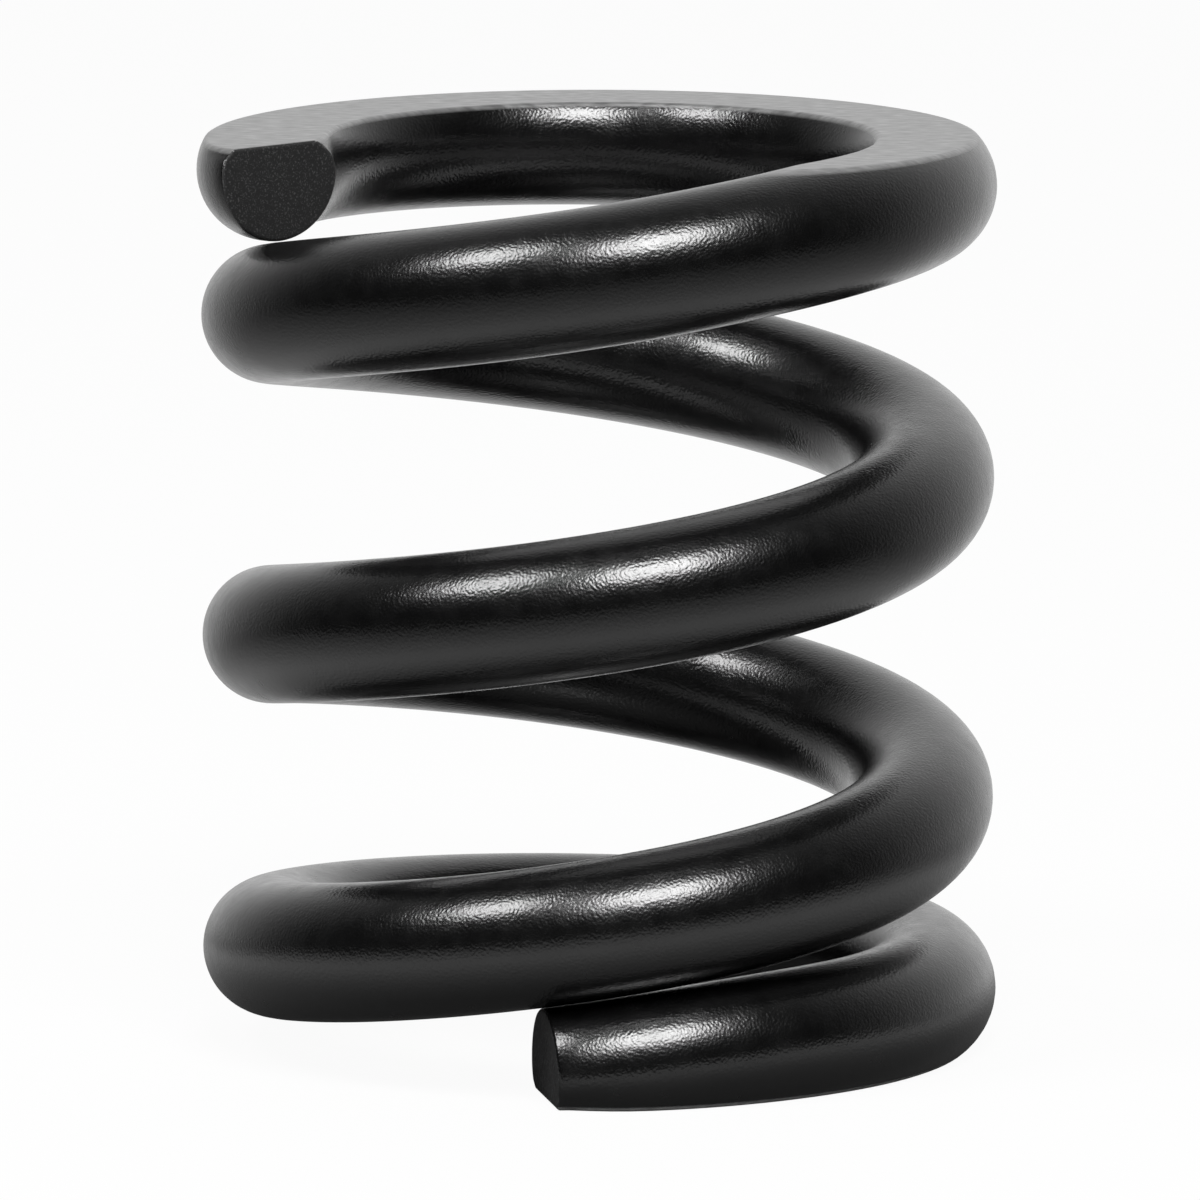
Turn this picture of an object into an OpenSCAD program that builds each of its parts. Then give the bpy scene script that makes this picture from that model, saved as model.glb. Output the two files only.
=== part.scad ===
// Helical compression spring for a slip clutch: round wire, right-hand wound,
// both ends closed down on the next turn and ground flat.
// Millimetres. The origin is on the coil axis in the lower ground face and +Z runs up the axis.

/* [Wire] */

// diameter of the round wire
wire_d = 5; // [4:0.1:6]

/* [Coil] */

// outside diameter over the working turns
coil_od = 28.6; // [26:0.1:36]
// free length between the two ground faces
free_length = 33.1; // [31:0.1:38]
// turns of wire from tip to tip
total_turns = 3.815; // [3.5:0.005:4.4]
// where the lower tip sits, as an angle about the axis from +X
lower_tip_angle = 261; // [0:1:360]

/* [Closed ends] */

// turns from the lower tip at which the wire has settled to the low end pitch
lower_settled = 0.16; // [0.1:0.01:0.2]
// turns from the lower tip at which the pitch starts to open
lower_opens = 0.42; // [0.3:0.01:0.48]
// turns over which the pitch at the lower end opens to that of the working turns
lower_opening_turns = 0.57; // [0.4:0.01:0.58]
// turns from the upper tip at which the wire has settled to the low end pitch
upper_settled = 0.09; // [0.06:0.01:0.2]
// turns from the upper tip at which the pitch starts to open
upper_opens = 0.51; // [0.3:0.01:0.6]
// turns over which the pitch at the upper end opens to that of the working turns
upper_opening_turns = 0.27; // [0.2:0.01:0.45]
// turns over which the wire settles, its tip still running along the next turn
settle_turns = 0.14; // [0.12:0.01:0.25]
// clearance left between each tip and the turn it closes on
tip_gap = 0.06; // [0.05:0.01:0.5]
// how far each tip springs out past the working turns, on radius
end_spread = 0.15; // [0:0.01:0.4]

/* [Ground faces and tips] */

// wire left at the lower tip after its end is ground
lower_tip_thickness = 3.3; // [2.6:0.05:3.8]
// wire left at the upper tip after its end is ground
upper_tip_thickness = 3.45; // [2.6:0.05:3.8]
// slant of the lower tip's sheared face away from a square cut
lower_tip_shear = 20; // [0:1:32]
// slant of the upper tip's sheared face away from a square cut
upper_tip_shear = 29; // [0:1:32]
// broken edge around each sheared tip
tip_break = 0.2; // [0.05:0.01:0.4]

/* [Hidden] */

// facets around the wire and along one turn
wire_sides = 24;
turn_steps = 50;

wire_r = wire_d / 2;
coil_r = (coil_od - wire_d) / 2;
steps = ceil(total_turns * turn_steps);
// turns kept clear of plain rings at each tip, for the slanted face
tip_turns = 1.2 * (wire_r * tan(max(lower_tip_shear, upper_tip_shear)) + tip_break)
    / (2 * PI * (coil_r - wire_r));

// how much of the working pitch is given up over the first x turns from a tip
function part_of(x) = max(0, min(1, x));
function low_turns(x, settled, opens, opening) =
    let (s = part_of((x - settled) / settle_turns + 1), o = part_of((x - opens) / opening))
    settle_turns * (pow(s, 3) - pow(s, 4) / 2) + max(0, min(x, opens) - settled)
    + opening * (o - pow(o, 3) + pow(o, 4) / 2);
function given_up(x, settled, opens, opening) =
    low_turns(x, settled, opens, opening) - low_turns(0, settled, opens, opening);
function from_lower(x) = given_up(x, lower_settled, lower_opens, lower_opening_turns);
function from_upper(x) = given_up(x, upper_settled, upper_opens, upper_opening_turns);

// each end turn climbs one wire and the tip gap, measured square to the sloping wire,
// and the turns between share what is left
climb = free_length - lower_tip_thickness - upper_tip_thickness + wire_d;
slope = atan((climb - 2 * wire_d) / (total_turns - 2) / (2 * PI * coil_r));
end_climb = (wire_d + tip_gap) / cos(slope);
shares = from_lower(total_turns) / from_lower(1) + from_upper(total_turns) / from_upper(1);
pitch = (climb - shares * end_climb) / (total_turns - shares);
lower_drop = (pitch - end_climb) / from_lower(1);
upper_drop = (pitch - end_climb) / from_upper(1);

// height, radius and run of the wire's centre line, u turns from the lower tip
function height(u) =
    lower_tip_thickness - wire_r + pitch * u - lower_drop * from_lower(u)
    - upper_drop * (from_upper(total_turns) - from_upper(total_turns - u));
function fade(x) =
    let (t = part_of(x))
    1 - t * t * (3 - 2 * t);
function radius(u) = coil_r + end_spread * (fade(u) + fade(total_turns - u));
function angle(u) = lower_tip_angle + 360 * u;
function outward(u) = [cos(angle(u)), sin(angle(u)), 0];
function centre(u) = radius(u) * outward(u) + [0, 0, height(u)];
function along(u) =
    let (step = 0.0005, run = centre(u + step) - centre(u - step))
    run / norm(run);

// one ring of points around the wire, slanted by shear and moved along the wire by shift
function ring(u, r, shear, shift) =
    let (out = outward(u), run = along(u), up = cross(out, run))
    [for (i = [0 : wire_sides - 1])
        let (a = 360 * i / wire_sides)
        centre(u) + r * cos(a) * (out + tan(shear) * run) + r * sin(a) * up + shift * run];

// the wound wire, tips sheared, before its ends are ground
module wound_wire() {
    rings = concat(
        [ring(0, wire_r - tip_break, lower_tip_shear, 0), ring(0, wire_r, lower_tip_shear, tip_break)],
        [for (k = [0 : steps])
            ring(tip_turns + (total_turns - 2 * tip_turns) * k / steps, wire_r, 0, 0)],
        [ring(total_turns, wire_r, upper_tip_shear, -tip_break),
         ring(total_turns, wire_r - tip_break, upper_tip_shear, 0)]);
    last = len(rings) - 1;
    n = wire_sides;
    polyhedron(
        points = [for (r = rings) each r],
        faces = concat(
            [[for (i = [0 : n - 1]) i]],
            [for (k = [0 : last - 1], i = [0 : n - 1])
                let (a = k * n + i, b = k * n + (i + 1) % n)
                each [[a, a + n, b + n], [a, b + n, b]]],
            [[for (i = [n - 1 : -1 : 0]) last * n + i]]),
        convexity = 8);
}

// the whole spring: wound wire with both ends ground square to the axis
module spring() {
    reach = 2 * coil_od;
    color("#1d1d1f")
    difference() {
        wound_wire();
        translate([-reach / 2, -reach / 2, -reach]) cube(reach);
        translate([-reach / 2, -reach / 2, free_length]) cube(reach);
    }
}

spring();
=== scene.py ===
"""Helical compression spring with closed, ground ends, in a black coat, on a pale studio floor."""

import math

import bmesh
import bpy
from mathutils import Matrix, Vector


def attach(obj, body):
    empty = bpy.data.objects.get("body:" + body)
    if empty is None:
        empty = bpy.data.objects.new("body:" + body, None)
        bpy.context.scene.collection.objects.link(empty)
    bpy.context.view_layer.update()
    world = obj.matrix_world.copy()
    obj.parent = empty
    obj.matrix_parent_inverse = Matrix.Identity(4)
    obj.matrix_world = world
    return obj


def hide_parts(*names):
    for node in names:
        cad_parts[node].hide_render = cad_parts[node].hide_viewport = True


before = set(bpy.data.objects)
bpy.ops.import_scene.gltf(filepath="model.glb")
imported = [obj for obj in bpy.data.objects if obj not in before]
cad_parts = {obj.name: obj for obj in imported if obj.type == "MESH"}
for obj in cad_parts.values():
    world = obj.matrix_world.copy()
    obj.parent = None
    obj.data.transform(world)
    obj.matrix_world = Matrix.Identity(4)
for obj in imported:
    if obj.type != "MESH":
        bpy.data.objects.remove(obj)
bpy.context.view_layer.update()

MM = 0.001

# Sizes of the spring, as the part's source has them, but with the gap at the tips closed up further.
WIRE_R = 2.5 * MM
COIL_R = 11.8 * MM
FREE_LENGTH = 33.1 * MM
TOTAL_TURNS = 3.815
LOWER_TIP_ANGLE = math.radians(261)
LOWER_SETTLED = 0.16
LOWER_OPENS = 0.42
LOWER_OPENING_TURNS = 0.57
UPPER_SETTLED = 0.09
UPPER_OPENS = 0.51
UPPER_OPENING_TURNS = 0.27
SETTLE_TURNS = 0.14
TIP_GAP = 0.02 * MM
END_SPREAD = 0.15 * MM
LOWER_TIP_THICKNESS = 3.3 * MM
UPPER_TIP_THICKNESS = 3.45 * MM
LOWER_TIP_SHEAR = math.radians(20)
UPPER_TIP_SHEAR = math.radians(29)

# How far each sheared face leans over the wire.
LOWER_TIP_LEAN = math.radians(6)
UPPER_TIP_LEAN = 0.0

# How finely the wire is drawn, and how much is wound past each tip before it is sheared.
WIRE_SIDES = 72
STEPS_PER_TURN = 120
SPARE_TURNS = 0.03
SHEAR_STEPS = 10

# Broken edges, and the slivers and crowded corners that are closed up beside them first.
EDGE_BREAK = 0.12 * MM
EDGE_SEGMENTS = 3
SHARP_ANGLE = math.radians(20)
SLIVER = 0.2 * MM
CORNER_ROOM = 0.3 * MM

# How near to a cut a point counts as in it, and the most corners that a rounded face has.
IN_PLANE = 0.0001 * MM
ROUNDED_CORNERS = 8

# Wire drawn in towards the tips: how deep, at which angle to the radius, how narrowly.
EASE_LENGTH = 2.4 * MM
DEBURRED = (0.55 * MM, math.radians(40), 12)
ROUNDED = (0.5 * MM, math.radians(32), 40)
DRESSED = (0.32 * MM, 0.0, 2)

# Material places on the piece, and the sides of the coil and of its ends.
COAT = 0
SHEARED = 1
INNER = -1
OUTER = 1
LOWER = -1
UPPER = 1


# The wire's centre line

def share(value):
    return max(0.0, min(1.0, value))


def low_turns(turns, settled, opens, opening_turns):
    """Turns of low pitch so far, where the wire settles to it and opens from it smoothly."""
    settling = share((turns - settled) / SETTLE_TURNS + 1)
    opening = share((turns - opens) / opening_turns)
    return (SETTLE_TURNS * (settling ** 3 - settling ** 4 / 2) + max(0.0, min(turns, opens) - settled)
            + opening_turns * (opening - opening ** 3 + opening ** 4 / 2))


def from_lower(turns):
    """How much of the working pitch is given up within so many turns of the lower tip."""
    end = (LOWER_SETTLED, LOWER_OPENS, LOWER_OPENING_TURNS)
    return low_turns(turns, *end) - low_turns(0, *end)


def from_upper(turns):
    """The same from the upper tip."""
    end = (UPPER_SETTLED, UPPER_OPENS, UPPER_OPENING_TURNS)
    return low_turns(turns, *end) - low_turns(0, *end)


CLIMB = FREE_LENGTH - LOWER_TIP_THICKNESS - UPPER_TIP_THICKNESS + 2 * WIRE_R
SLOPE = math.atan((CLIMB - 4 * WIRE_R) / (TOTAL_TURNS - 2) / (2 * math.pi * COIL_R))
END_CLIMB = (2 * WIRE_R + TIP_GAP) / math.cos(SLOPE)
SHARES = from_lower(TOTAL_TURNS) / from_lower(1) + from_upper(TOTAL_TURNS) / from_upper(1)
PITCH = (CLIMB - SHARES * END_CLIMB) / (TOTAL_TURNS - SHARES)
LOWER_DROP = (PITCH - END_CLIMB) / from_lower(1)
UPPER_DROP = (PITCH - END_CLIMB) / from_upper(1)


def fade(turns):
    part = share(turns)
    return 1 - part * part * (3 - 2 * part)


def wire_centre(turns):
    """A point on the wire's centre line, so many turns from the lower tip."""
    angle = LOWER_TIP_ANGLE + 2 * math.pi * turns
    radius = COIL_R + END_SPREAD * (fade(turns) + fade(TOTAL_TURNS - turns))
    height = (LOWER_TIP_THICKNESS - WIRE_R + PITCH * turns - LOWER_DROP * from_lower(turns)
              - UPPER_DROP * (from_upper(TOTAL_TURNS) - from_upper(TOTAL_TURNS - turns)))
    return Vector((radius * math.cos(angle), radius * math.sin(angle), height))


def wire_run(turns):
    """The way the wire runs there."""
    step = 0.0005
    return (wire_centre(turns + step) - wire_centre(turns - step)).normalized()


def wire_out(turns):
    """The way straight out from the coil's axis there."""
    angle = LOWER_TIP_ANGLE + 2 * math.pi * turns
    return Vector((math.cos(angle), math.sin(angle), 0))


def wire_place(turns):
    """Stands a section square across the wire there."""
    run = wire_run(turns)
    out = wire_out(turns)
    up = out.cross(run).normalized()
    out = run.cross(up)
    return Matrix.Translation(wire_centre(turns)) @ Matrix((up, out, run)).transposed().to_4x4()


# The spring

def in_scene(name, data):
    item = bpy.data.objects.new(name, data)
    bpy.context.scene.collection.objects.link(item)
    return item


def mesh_object(name, mesh):
    """Turns a working mesh into an object of the scene."""
    data = bpy.data.meshes.new(name)
    mesh.to_mesh(data)
    mesh.free()
    return in_scene(name, data)


def of_kind(geometry, kind):
    return [item for item in geometry if isinstance(item, kind)]


def wind_wire():
    """Draws a round section along the centre line, a little past both tips."""
    mesh = bmesh.new()
    steps = round((TOTAL_TURNS + 2 * SPARE_TURNS) * STEPS_PER_TURN)
    stops = [-SPARE_TURNS + k * (TOTAL_TURNS + 2 * SPARE_TURNS) / steps for k in range(steps + 1)]
    bmesh.ops.create_circle(mesh, segments=WIRE_SIDES, radius=WIRE_R, matrix=wire_place(stops[0]))
    rings = [(stops[0], mesh.verts[:])]
    rim = mesh.edges[:]
    for last, turns in zip(stops, stops[1:]):
        grown = bmesh.ops.extrude_edge_only(mesh, edges=rim)["geom"]
        ring = of_kind(grown, bmesh.types.BMVert)
        bmesh.ops.transform(mesh, matrix=wire_place(turns) @ wire_place(last).inverted(), verts=ring)
        rings.append((turns, ring))
        fresh = set(ring)
        rim = [edge for edge in of_kind(grown, bmesh.types.BMEdge) if fresh.issuperset(edge.verts)]
    return mesh, rings


def ease_tip(rings, tip_turns, shear, end, side, depth, angle, sharpness):
    """Draws in one side of the wire towards a tip."""
    for turns, ring in rings:
        inside = (tip_turns - turns) * end * 2 * math.pi * COIL_R
        inside += side * end * WIRE_R * math.tan(shear)
        amount = depth * (1 - share(inside / EASE_LENGTH)) ** 2
        up = Vector((0, 0, end))
        corner_way = up * math.sin(angle) + wire_out(turns) * side * math.cos(angle)
        for corner in ring:
            way = (corner.co - wire_centre(turns)).normalized()
            corner.co -= way * amount * max(0.0, way.dot(corner_way)) ** sharpness


def with_borders(faces):
    """Faces with their edges and corners, as a cut wants them."""
    edges = {edge for face in faces for edge in face.edges}
    corners = {corner for face in faces for corner in face.verts}
    return [*faces, *edges, *corners]


def cut_rim(mesh, point, normal):
    """The open edges that a cut has left in its plane."""
    return [edge for edge in mesh.edges if edge.is_boundary
            and all(abs((corner.co - point).dot(normal)) < IN_PLANE for corner in edge.verts)]


def close_slivers(mesh, rim_edges):
    """Draws corners that lie close beside a rim onto it, so that the rim can be rounded."""
    rim = {corner for edge in rim_edges for corner in edge.verts}
    nearest = {}
    for corner in rim:
        for edge in corner.link_edges:
            beside = edge.other_vert(corner)
            gap = edge.calc_length()
            if beside not in rim and gap < SLIVER and gap < nearest.get(beside, (None, SLIVER))[1]:
                nearest[beside] = (corner, gap)
    bmesh.ops.weld_verts(mesh, targetmap={beside: corner for beside, (corner, gap) in nearest.items()})
    # Sorted by place, so that each run merges the same corners the same way.
    left = sorted((corner for corner in rim if corner.is_valid), key=lambda corner: corner.co[:])
    bmesh.ops.remove_doubles(mesh, verts=left, dist=SLIVER / 2)


def cut_flat(mesh, geometry, point, normal, material):
    """Cuts off what lies past a plane and closes the cut with one flat face."""
    bmesh.ops.bisect_plane(mesh, geom=geometry, plane_co=point, plane_no=normal, clear_outer=True)
    close_slivers(mesh, cut_rim(mesh, point, normal))
    bmesh.ops.edgeloop_fill(mesh, edges=cut_rim(mesh, point, normal), mat_nr=material)


def shear_tip(mesh, faces, turns, shear, lean, end):
    """Cuts the spare wire off one tip on a slant."""
    run = wire_run(turns)
    out = wire_out(turns)
    slant = run * math.cos(shear) - out * math.sin(shear) - out.cross(run) * math.sin(lean)
    cut_flat(mesh, with_borders(faces), wire_centre(turns), slant.normalized() * end, SHEARED)


def grind_end(mesh, height, end):
    """Grinds one end flat, square to the axis."""
    everything = mesh.verts[:] + mesh.edges[:] + mesh.faces[:]
    cut_flat(mesh, everything, Vector((0, 0, height)), Vector((0, 0, end)), COAT)


def sharp_edges(mesh):
    return [edge for edge in mesh.edges if edge.calc_face_angle(0) > SHARP_ANGLE]


def clear_corners(mesh):
    """Draws the points that crowd a tip's corner into it, so that its rims can be rounded."""
    sharp = set(sharp_edges(mesh))
    corners = [point for point in mesh.verts if len(sharp.intersection(point.link_edges)) > 2]
    painted_near_glow = {edge.other_vert(corner): corner for corner in corners for edge in corner.link_edges
            if edge.calc_length() < CORNER_ROOM and edge.other_vert(corner) not in corners}
    bmesh.ops.weld_verts(mesh, targetmap=painted_near_glow)


def break_edges(mesh):
    """Takes the sharpness off the rims of the ground and sheared faces."""
    bmesh.ops.bevel(mesh, geom=sharp_edges(mesh), offset=EDGE_BREAK, offset_type="OFFSET",
                    segments=EDGE_SEGMENTS, profile=0.5, affect="EDGES", clamp_overlap=False, material=-1)


def make_spring():
    mesh, rings = wind_wire()
    for side in (INNER, OUTER):
        ease_tip(rings, 0, LOWER_TIP_SHEAR, LOWER, side, *DEBURRED)
        ease_tip(rings, TOTAL_TURNS, UPPER_TIP_SHEAR, UPPER, side, *DEBURRED)
    ease_tip(rings, 0, LOWER_TIP_SHEAR, LOWER, INNER, *ROUNDED)
    ease_tip(rings, TOTAL_TURNS, UPPER_TIP_SHEAR, UPPER, OUTER, *ROUNDED)
    ease_tip(rings, TOTAL_TURNS, UPPER_TIP_SHEAR, UPPER, OUTER, *DRESSED)
    mesh.faces.ensure_lookup_table()
    end_faces = WIRE_SIDES * SHEAR_STEPS
    lower_end = mesh.faces[:end_faces]
    upper_end = mesh.faces[-end_faces:]
    shear_tip(mesh, lower_end, 0, LOWER_TIP_SHEAR, LOWER_TIP_LEAN, LOWER)
    shear_tip(mesh, upper_end, TOTAL_TURNS, UPPER_TIP_SHEAR, UPPER_TIP_LEAN, UPPER)
    grind_end(mesh, 0, LOWER)
    grind_end(mesh, FREE_LENGTH, UPPER)
    bmesh.ops.recalc_face_normals(mesh, faces=mesh.faces[:])
    clear_corners(mesh)
    break_edges(mesh)
    for face in mesh.faces:
        face.smooth = len(face.verts) <= ROUNDED_CORNERS
    return mesh_object("spring_wire", mesh)


# Steps that the finishes are made of

def feed(tree, socket, value):
    """Links a socket to where its value comes from, or sets it."""
    if isinstance(value, bpy.types.NodeSocket):
        tree.links.new(value, socket)
    else:
        socket.default_value = value


def calculated(tree, operation, *given):
    """One step of arithmetic."""
    node = tree.nodes.new("ShaderNodeMath")
    node.operation = operation
    for socket, value in zip(node.inputs, given):
        feed(tree, socket, value)
    return node.outputs["Value"]


def on_vectors(tree, operation, *given):
    """One step of arithmetic on vectors."""
    node = tree.nodes.new("ShaderNodeVectorMath")
    node.operation = operation
    for socket, value in zip(node.inputs, given):
        feed(tree, socket, value)
    return node.outputs


def ranged(tree, value, start, stop, low=0.0, high=1.0, curve="LINEAR"):
    """Spreads the values between start and stop from low to high."""
    node = tree.nodes.new("ShaderNodeMapRange")
    node.interpolation_type = curve
    feed(tree, node.inputs["Value"], value)
    feed(tree, node.inputs["From Min"], start)
    feed(tree, node.inputs["From Max"], stop)
    feed(tree, node.inputs["To Min"], low)
    feed(tree, node.inputs["To Max"], high)
    return node.outputs["Result"]


def toned(tree, amount, first, second):
    """Mixes two colours."""
    node = tree.nodes.new("ShaderNodeMix")
    node.data_type = "RGBA"
    feed(tree, node.inputs[0], amount)
    feed(tree, node.inputs[6], first)
    feed(tree, node.inputs[7], second)
    return node.outputs[2]


def mixed(tree, amount, first, second):
    """Mixes two values."""
    node = tree.nodes.new("ShaderNodeMix")
    feed(tree, node.inputs[0], amount)
    feed(tree, node.inputs[2], first)
    feed(tree, node.inputs[3], second)
    return node.outputs[0]


def noise(tree, where, scale, detail):
    node = tree.nodes.new("ShaderNodeTexNoise")
    feed(tree, node.inputs["Vector"], where)
    feed(tree, node.inputs["Scale"], scale)
    feed(tree, node.inputs["Detail"], detail)
    return node.outputs["Fac"]


def bumped(tree, height, relief):
    """The normal of a surface with so much relief."""
    node = tree.nodes.new("ShaderNodeBump")
    feed(tree, node.inputs["Height"], height)
    feed(tree, node.inputs["Distance"], relief)
    feed(tree, node.inputs["Strength"], 1.0)
    return node.outputs["Normal"]


def own_place(tree):
    return tree.nodes.new("ShaderNodeTexCoord").outputs["Object"]


def new_material(name):
    material = bpy.data.materials.new(name)
    material.use_nodes = True
    return material, material.node_tree, material.node_tree.nodes["Principled BSDF"].inputs


def new_group(name, inputs, outputs):
    group = bpy.data.node_groups.new(name, "ShaderNodeTree")
    for socket, value in inputs:
        entry = group.interface.new_socket(socket, in_out="INPUT", socket_type="NodeSocketFloat")
        entry.default_value = value
    for socket in outputs:
        group.interface.new_socket(socket, in_out="OUTPUT", socket_type="NodeSocketFloat")
    return group, group.nodes.new("NodeGroupInput").outputs, group.nodes.new("NodeGroupOutput").inputs


def place_group(tree, group):
    node = tree.nodes.new("ShaderNodeGroup")
    node.node_tree = group
    return node


# Finishes, each from its darkest to its lightest or from its smoothest to its roughest

WHITE = (1, 1, 1, 1)
COAT_TONES = ((0.001, 0.001, 0.0011, 1), (0.003, 0.003, 0.0031, 1))
COAT_ROUGHNESS = (0.21, 0.28)
COAT_SPECULAR = 1.0
STEEL_TONES = ((0.28, 0.28, 0.28, 1), (0.62, 0.62, 0.62, 1))
STEEL_ROUGHNESS = (0.40, 0.52)
COAT_RELIEF = 0.011 * MM
SHEARED_TONES = ((0.016, 0.016, 0.0163, 1), (0.09, 0.09, 0.09, 1))
SHEARED_ROUGHNESS = 0.6
SHEARED_GRAIN = 6000.0
SHEARED_RELIEF = 0.02 * MM

# The part of a noise's range that is used, and the part that shows as specks.
NOISE_SPAN = (0.25, 0.75)
SPECK_SPAN = (0.55, 0.75)

# How detailed each noise is, and how much of the slow roll goes into the grain's height.
FINE_DETAIL = 0.5
ROLL_DETAIL = 2.0
SPECK_DETAIL = 1.0
LINES_DETAIL = 6.0
ROLL_WEIGHT = 0.4

# The depth over which the ground faces fade out, and the share of it that is still bare.
FEATHER = 0.2 * MM
BARE_SHARE = 0.15


def grain_group():
    """Fine rounded grain with a slower roll under it, and a sparse speck mask."""
    group, given, put = new_group("coat_grain", [("Grain", 10000.0), ("Roll", 1300.0), ("Speck", 15000.0)],
                                  ["Height", "Tone", "Specks"])
    where = own_place(group)
    fine = noise(group, where, given["Grain"], FINE_DETAIL)
    slow = noise(group, where, given["Roll"], ROLL_DETAIL)
    sparse = noise(group, where, given["Speck"], SPECK_DETAIL)
    feed(group, put["Height"], calculated(group, "MULTIPLY_ADD", slow, ROLL_WEIGHT, fine))
    feed(group, put["Tone"], slow)
    feed(group, put["Specks"], ranged(group, sparse, *SPECK_SPAN))
    return group


def ground_group():
    """1 on the two ground faces, fading over the surface just beside them."""
    group, given, put = new_group("ground_ends", [("Length", FREE_LENGTH), ("Feather", FEATHER)],
                                  ["Ground"])
    split = group.nodes.new("ShaderNodeSeparateXYZ")
    feed(group, split.inputs["Vector"], own_place(group))
    height = split.outputs["Z"]
    from_top = calculated(group, "SUBTRACT", given["Length"], height)
    depth = calculated(group, "MINIMUM", from_top, height)
    bare = calculated(group, "MULTIPLY", given["Feather"], BARE_SHARE)
    feed(group, put["Ground"], ranged(group, depth, given["Feather"], bare, curve="SMOOTHSTEP"))
    return group


def lines_group():
    """Fine straight marks of a grinding wheel."""
    group, given, put = new_group("grinding_lines", [("Across", 4200.0), ("Along", 1400.0)], ["Lines"])
    scale = group.nodes.new("ShaderNodeCombineXYZ")
    feed(group, scale.inputs["X"], given["Along"])
    feed(group, scale.inputs["Y"], given["Across"])
    stretched = on_vectors(group, "MULTIPLY", own_place(group), scale.outputs["Vector"])["Vector"]
    feed(group, put["Lines"], noise(group, stretched, 1.0, LINES_DETAIL))
    return group


def black_coat(grain, ground_ends, grinding_lines):
    """Black coat, worn through to bright steel where the ends are ground."""
    material, tree, surface = new_material("black_coat")
    coat = place_group(tree, grain).outputs
    ground = place_group(tree, ground_ends).outputs["Ground"]
    lines = place_group(tree, grinding_lines).outputs["Lines"]
    black = toned(tree, coat["Tone"], *COAT_TONES)
    steel = toned(tree, ranged(tree, lines, *NOISE_SPAN), *STEEL_TONES)
    feed(tree, surface["Base Color"], toned(tree, ground, black, steel))
    feed(tree, surface["Metallic"], ground)
    feed(tree, surface["Specular IOR Level"], COAT_SPECULAR)
    coat_roughness = ranged(tree, coat["Tone"], *NOISE_SPAN, *COAT_ROUGHNESS)
    steel_roughness = ranged(tree, lines, *NOISE_SPAN, *STEEL_ROUGHNESS)
    feed(tree, surface["Roughness"], mixed(tree, ground, coat_roughness, steel_roughness))
    feed(tree, surface["Normal"], bumped(tree, mixed(tree, ground, coat["Height"], lines), COAT_RELIEF))
    return material


def sheared_face(grain):
    """Dull dark break with fine bright specks."""
    material, tree, surface = new_material("sheared_face")
    rough = place_group(tree, grain)
    feed(tree, rough.inputs["Grain"], SHEARED_GRAIN)
    feed(tree, surface["Base Color"], toned(tree, rough.outputs["Specks"], *SHEARED_TONES))
    feed(tree, surface["Roughness"], SHEARED_ROUGHNESS)
    feed(tree, surface["Normal"], bumped(tree, rough.outputs["Height"], SHEARED_RELIEF))
    return material


# Studio

# The way to the brightest part of the backdrop, and how its light falls off from there.
BACKDROP_WAY = (0.2, 1.0, 0.0)
BACKDROP_SPAN = (-0.15, 1.0)
BACKDROP_LEAST = 0.22
BACKDROP_POWER = 2.6

# The floor, and how bright the coat mirrors it by distance from the coil's axis: a painted glow that is
# brightest near the coil, and a painted shadow that darkens it under the coil.
FLOOR_RADIUS = 4.0
FLOOR_SIDES = 64
FLOOR_COLOUR = (0.86, 0.86, 0.86, 1)
FLOOR_ROUGHNESS = 0.9
FLOOR_NEAR_LIGHT = 0.0165
PAINTED_SHADOW_SPAN = (0.012, 0.032)
PAINTED_SHADOW_LEAST = 0.03
PLAIN_SHARE = 0.95

# Lamps: name, way to it, size and power, all at one distance.
LAMP_DISTANCE = 0.5
LAMPS = (
    ("left_softbox", (-0.50, -0.32, 0.805), (0.16, 0.15), 0.92),
    ("right_softbox", (0.115, -0.625, 0.77), (0.22, 0.18), 1.85),
)


def backdrop_level(tree, way):
    """How bright the backdrop is mirrored: white behind the object, dim on the camera's side."""
    behind = on_vectors(tree, "DOT_PRODUCT", way, BACKDROP_WAY)["Value"]
    return calculated(tree, "POWER", ranged(tree, behind, *BACKDROP_SPAN, BACKDROP_LEAST), BACKDROP_POWER)


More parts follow.
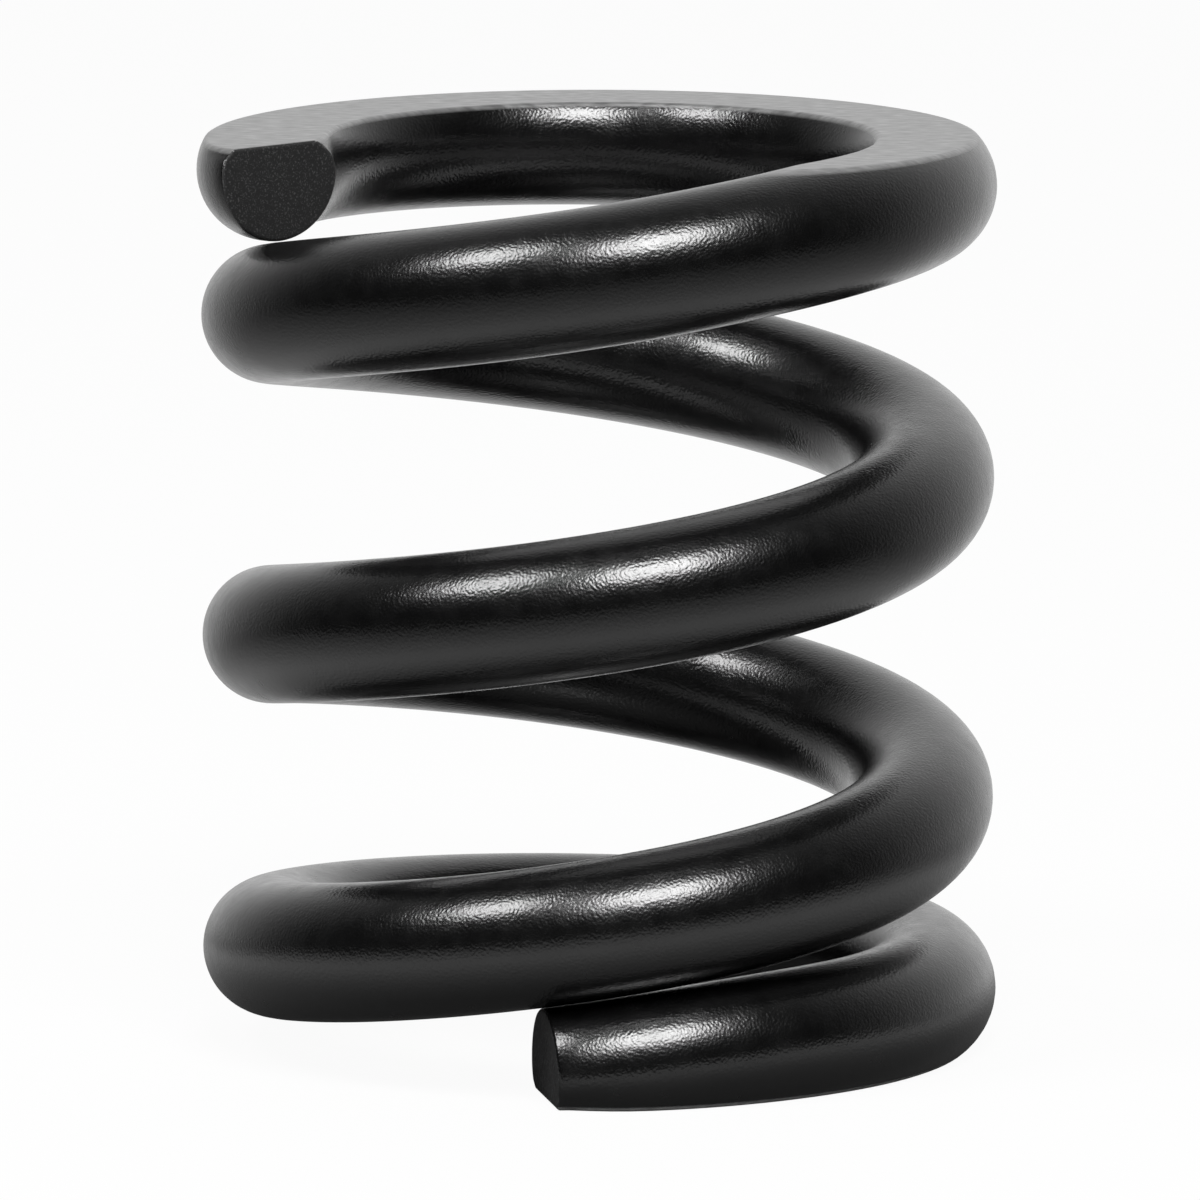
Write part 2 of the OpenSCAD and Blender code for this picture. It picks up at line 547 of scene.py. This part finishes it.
def studio_floor():
    """White floor, which the coat mirrors dimly as a painted glow that is less with distance, darkened by
    a painted shadow under the object.
    """
    mesh = bmesh.new()
    bmesh.ops.create_circle(mesh, cap_ends=True, segments=FLOOR_SIDES, radius=FLOOR_RADIUS)
    floor = mesh_object("floor", mesh)
    material, tree, surface = new_material("pale_floor")
    feed(tree, surface["Base Color"], FLOOR_COLOUR)
    feed(tree, surface["Roughness"], FLOOR_ROUGHNESS)
    where = own_place(tree)
    distance = on_vectors(tree, "LENGTH", where)["Value"]
    # Painted glow: the floor that the coat mirrors brightens towards the coil.
    painted_near_glow = calculated(tree, "DIVIDE", FLOOR_NEAR_LIGHT, distance)
    far = backdrop_level(tree, on_vectors(tree, "NORMALIZE", where)["Vector"])
    # Painted shadow: the floor that the coat mirrors is darkened under and just around the coil.
    painted_shadow = ranged(tree, distance, *PAINTED_SHADOW_SPAN, PAINTED_SHADOW_LEAST, curve="SMOOTHSTEP")
    mirrored = calculated(tree, "MULTIPLY", calculated(tree, "MAXIMUM", painted_near_glow, far), painted_shadow)
    path = tree.nodes.new("ShaderNodeLightPath").outputs
    white = tree.nodes.new("ShaderNodeEmission")
    feed(tree, white.inputs["Color"], WHITE)
    feed(tree, white.inputs["Strength"], calculated(tree, "MAXIMUM", path["Is Camera Ray"], mirrored))
    seen = calculated(tree, "MAXIMUM", path["Is Camera Ray"], path["Is Glossy Ray"])
    mix = tree.nodes.new("ShaderNodeMixShader")
    feed(tree, mix.inputs[0], calculated(tree, "MULTIPLY", seen, PLAIN_SHARE))
    feed(tree, mix.inputs[1], tree.nodes["Principled BSDF"].outputs["BSDF"])
    feed(tree, mix.inputs[2], white.outputs["Emission"])
    feed(tree, tree.nodes["Material Output"].inputs["Surface"], mix.outputs["Shader"])
    floor.data.materials.append(material)


def studio_world():
    """Backdrop, plain white to the camera."""
    world = bpy.data.worlds.new("studio")
    bpy.context.scene.world = world
    world.use_nodes = True
    tree = world.node_tree
    way = tree.nodes.new("ShaderNodeTexCoord").outputs["Generated"]
    path = tree.nodes.new("ShaderNodeLightPath").outputs
    background = tree.nodes["Background"].inputs
    feed(tree, background["Color"], WHITE)
    feed(tree, background["Strength"],
         calculated(tree, "MAXIMUM", path["Is Camera Ray"], backdrop_level(tree, way)))


def softbox(name, direction, size, power):
    light = bpy.data.lights.new(name, "AREA")
    light.shape = "RECTANGLE"
    light.size = size[0]
    light.size_y = size[1]
    light.energy = power
    lamp = in_scene(name, light)
    way = Vector(direction).normalized()
    lamp.location = Vector((0, 0, FREE_LENGTH / 2)) + way * LAMP_DISTANCE
    lamp.rotation_euler = way.to_track_quat("Z", "Y").to_euler()


# Camera, at the photograph's angle

CAMERA_RISE = math.radians(8.76)
CAMERA_DISTANCE = 0.5423
CAMERA_LENS = 450.0
SENSOR_WIDTH = 36.0
NEAREST_SEEN = 0.01
FARTHEST_SEEN = 20.0
AIM = Vector((0.07 * MM, 0, FREE_LENGTH / 2 - 0.372 * MM))


def photo_camera():
    data = bpy.data.cameras.new("photo_camera")
    data.lens = CAMERA_LENS
    data.sensor_width = SENSOR_WIDTH
    data.clip_start = NEAREST_SEEN
    data.clip_end = FARTHEST_SEEN
    camera = in_scene("photo_camera", data)
    back = Vector((0, -math.cos(CAMERA_RISE), math.sin(CAMERA_RISE)))
    camera.location = AIM + back * CAMERA_DISTANCE
    camera.rotation_euler = back.to_track_quat("Z", "Y").to_euler()
    bpy.context.scene.camera = camera


spring = make_spring()
grain = grain_group()
spring.data.materials.append(black_coat(grain, ground_group(), lines_group()))
spring.data.materials.append(sheared_face(grain))
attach(spring, "root")
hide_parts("spring")

studio_floor()
studio_world()
for lamp in LAMPS:
    softbox(*lamp)
photo_camera()

bpy.context.scene.view_settings.view_transform = "Standard"
